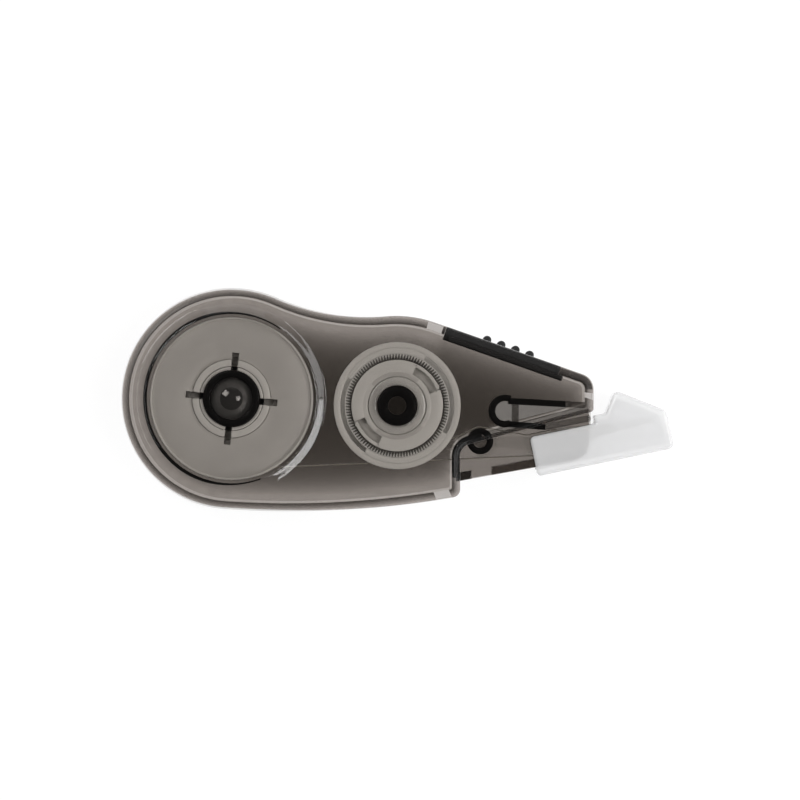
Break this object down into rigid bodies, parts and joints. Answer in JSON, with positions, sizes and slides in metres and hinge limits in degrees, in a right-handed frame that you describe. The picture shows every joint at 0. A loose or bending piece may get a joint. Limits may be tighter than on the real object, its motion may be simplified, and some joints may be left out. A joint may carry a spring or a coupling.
{
  "type": "correction tape",
  "caption": "Pocket correction tape: see-through case with geared supply and take-up reels, slip clutch, ratchet, rubber grip, applicator head and a pull-off cap.",
  "frame": {"origin": "on the supply reel's axis, on the flat back face that the object lies on", "axes": "+X along the case towards the applicator, +Y towards the rubber grip, +Z through the thickness towards the raised dish"},
  "size_m": [0.0826, 0.0335, 0.0138],
  "materials": {
    "smoke_plastic": "polished see-through smoke-grey polystyrene",
    "black_rubber": "matt moulded rubber",
    "black_plastic": "polished black plastic",
    "clear_gear": "moulded smoke-tinted clear plastic",
    "white_plastic": "satin moulded white plastic",
    "white_tape": "matt white correction film",
    "carrier_film": "thin translucent carrier film",
    "milky_plastic": "satin milky translucent polypropylene"
  },
  "bodies": {
    "case": {"front_shell": "smoke_plastic", "back_shell": "smoke_plastic", "grip_pad": "black_rubber", "axle_pin": "black_plastic", "ratchet_pawl": "white_plastic", "applicator_head": "milky_plastic", "tape_out_run": "white_tape", "tape_back_run": "carrier_film"},
    "supply_drive": {"supply_gear": "clear_gear"},
    "supply_reel": {"tape_core": "white_plastic", "supply_disc": "white_plastic", "tape_roll": "white_tape"},
    "take_up_reel": {"take_up_gear": "clear_gear", "take_up_spool": "white_plastic", "take_up_flange": "white_plastic", "take_up_winding": "carrier_film"},
    "cap_body": {"cap": "milky_plastic"}
  },
  "joints": [
    {"name": "supply_spin", "type": "hinge", "parent": "case", "child": "supply_drive", "pos_m": [0, 0, 0.0034], "axis": [0, 0, 1], "continuous": true},
    {"name": "clutch_slip", "type": "hinge", "parent": "supply_drive", "child": "supply_reel", "pos_m": [0, 0, 0.0076], "axis": [0, 0, 1], "continuous": true},
    {"name": "take_up_spin", "type": "hinge", "parent": "case", "child": "take_up_reel", "pos_m": [0.02478, -0.00104, 0.0034], "axis": [0, 0, 1], "continuous": true},
    {"name": "cap_pull", "type": "slide", "parent": "case", "child": "cap_body", "axis": [0.9791, 0.2035, 0], "range_m": [0, 0.03]}
  ],
  "couplings": [
    {"joint": "take_up_spin", "follows": "supply_spin", "ratio": -1.3846}
  ]
}
